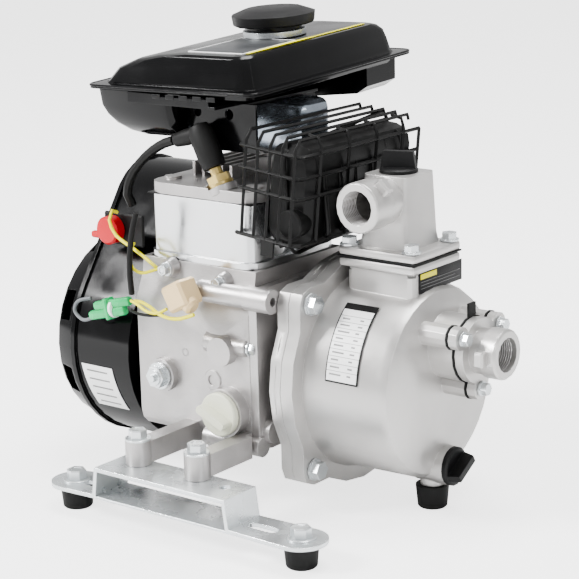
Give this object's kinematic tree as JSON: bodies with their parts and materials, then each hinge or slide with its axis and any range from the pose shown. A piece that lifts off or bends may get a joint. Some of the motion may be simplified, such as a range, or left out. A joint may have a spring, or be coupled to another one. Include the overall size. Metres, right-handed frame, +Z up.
{
  "type": "portable fire pump",
  "caption": "Portable petrol-engine fire pump: cast pump casing with suction and discharge ports, engine with fuel tank, caged muffler, recoil starter and a bracket on rubber feet.",
  "frame": {"origin": "floor level under the centre of the bounding box; the rubber feet stand on z = 0", "axes": "+X along the crankshaft towards the suction port, -Y towards the bracketed front side and the discharge port's mouth, +Z up"},
  "size_m": [0.3738, 0.2954, 0.3557],
  "materials": {
    "satin": "satin, fine cast grain",
    "cast": "rough grey die casting",
    "polished": "bright machined",
    "zinc": "bright zinc plating",
    "steel": "pressed sheet, shiny",
    "brass": "nickel and brass",
    "gloss_black": "gloss enamel",
    "soot": "heat-resistant matt black",
    "matt_black": "moulded, fine texture",
    "rubber": "matt",
    "red": "moulded",
    "cream": "moulded",
    "green": "translucent vinyl",
    "yellow": "wire insulation"
  },
  "bodies": {
    "frame": {"air_filter_case": "matt_black", "carburettor": "cast", "casing_bolt_1": "zinc", "casing_bolt_2": "zinc", "casing_bolt_3": "zinc", "casing_bolt_4": "zinc", "crankcase": "cast", "cylinder_block": "polished", "cylinder_head": "cast", "discharge_bolt_1": "zinc", "discharge_bolt_2": "zinc", "discharge_bolt_3": "zinc", "discharge_bolt_4": "zinc", "discharge_elbow": "satin", "fan_housing": "gloss_black", "foot_front_left": "rubber", "foot_front_right": "rubber", "foot_rear": "rubber", "front_bracket": "zinc", "fuel_tank_lower": "gloss_black", "fuel_tank_upper": "gloss_black", "head_cowl": "steel", "ht_lead": "rubber", "muffler": "soot", "muffler_guard": "soot", "oil_alert_module": "cream", "oil_level_switch": "zinc", "plug_cap": "rubber", "pump_back_plate": "satin", "pump_casing": "satin", "pump_foot": "rubber", "rear_bracket": "zinc", "recoil_cover": "gloss_black", "sensor_wire": "yellow", "side_cover": "cast", "spark_plug": "brass", "stop_switch_base": "matt_black", "stop_wire": "yellow", "suction_bolt_1": "zinc", "suction_bolt_2": "zinc", "suction_bolt_3": "zinc", "suction_flange": "satin", "suction_gasket": "rubber", "tank_bracket": "gloss_black", "volute_housing": "cast", "wire_connectors": "green"},
    "crank": {"crankshaft": "steel", "flywheel_fan": "cast", "impeller": "cast"},
    "starter_pulley": {"recoil_pulley": "matt_black"},
    "starter_handle": {"starter_grip": "matt_black"},
    "stop_knob": {"stop_switch_knob": "red"},
    "filler_cap": {"fuel_cap": "matt_black"},
    "fuel_tap": {"fuel_tap_lever": "red"},
    "throttle": {"throttle_lever": "zinc"},
    "choke": {"choke_lever": "matt_black"},
    "oil_cap": {"oil_filler_cap": "cream"},
    "priming_cap": {"priming_plug": "matt_black"},
    "drain_screw": {"drain_plug": "matt_black"},
    "non_return_flap": {"check_flap": "rubber"}
  },
  "joints": [
    {"name": "crank_spin", "type": "hinge", "parent": "frame", "child": "crank", "pos_m": [-0.0771, 0.01832, 0.096], "axis": [1, 0, 0], "continuous": true},
    {"name": "starter_pulley_turn", "type": "hinge", "parent": "frame", "child": "starter_pulley", "pos_m": [-0.1764, 0.01832, 0.096], "axis": [-1, 0, 0], "range_deg": [0, 960], "stiffness_Nm_per_rad": 0.01, "springref_deg": -229.18},
    {"name": "starter_pull", "type": "slide", "parent": "frame", "child": "starter_handle", "axis": [0, 1, 0], "range_m": [0, 0.45]},
    {"name": "stop_switch_turn", "type": "hinge", "parent": "frame", "child": "stop_knob", "pos_m": [-0.1306, -0.04368, 0.19], "axis": [0, 1, 0], "range_deg": [0, 40]},
    {"name": "fuel_cap_turn", "type": "hinge", "parent": "frame", "child": "filler_cap", "pos_m": [-0.03803, 0.04854, 0.34531], "axis": [-0.0227, -0.0454, 0.9987], "range_deg": [0, 90]},
    {"name": "fuel_tap_turn", "type": "hinge", "parent": "frame", "child": "fuel_tap", "pos_m": [-0.0371, 0.08132, 0.256], "axis": [0, 1, 0], "range_deg": [-90, 0]},
    {"name": "throttle_turn", "type": "hinge", "parent": "frame", "child": "throttle", "pos_m": [-0.0371, 0.06932, 0.22], "axis": [0, 0, 1], "range_deg": [-25, 20]},
    {"name": "choke_turn", "type": "hinge", "parent": "frame", "child": "choke", "pos_m": [-0.0591, 0.08032, 0.198], "axis": [0, 1, 0], "range_deg": [0, 75]},
    {"name": "oil_cap_turn", "type": "hinge", "parent": "frame", "child": "oil_cap", "pos_m": [-0.0031, -0.07168, 0.072], "axis": [0, -1, 0], "range_deg": [0, 360]},
    {"name": "priming_plug_turn", "type": "hinge", "parent": "frame", "child": "priming_cap", "pos_m": [0.0959, 0.01832, 0.247], "axis": [0, 0, 1], "range_deg": [0, 360]},
    {"name": "drain_plug_turn", "type": "hinge", "parent": "frame", "child": "drain_screw", "pos_m": [0.1399, 0.01832, 0.034], "axis": [1, 0, 0], "range_deg": [0, 360]},
    {"name": "flap_swing", "type": "hinge", "parent": "frame", "child": "non_return_flap", "pos_m": [0.1529, 0.01832, 0.142], "axis": [0, 1, 0], "range_deg": [0, 35]}
  ],
  "couplings": [
    {"joint": "starter_pull", "follows": "starter_pulley_turn", "m_per_rad": 0.026}
  ]
}
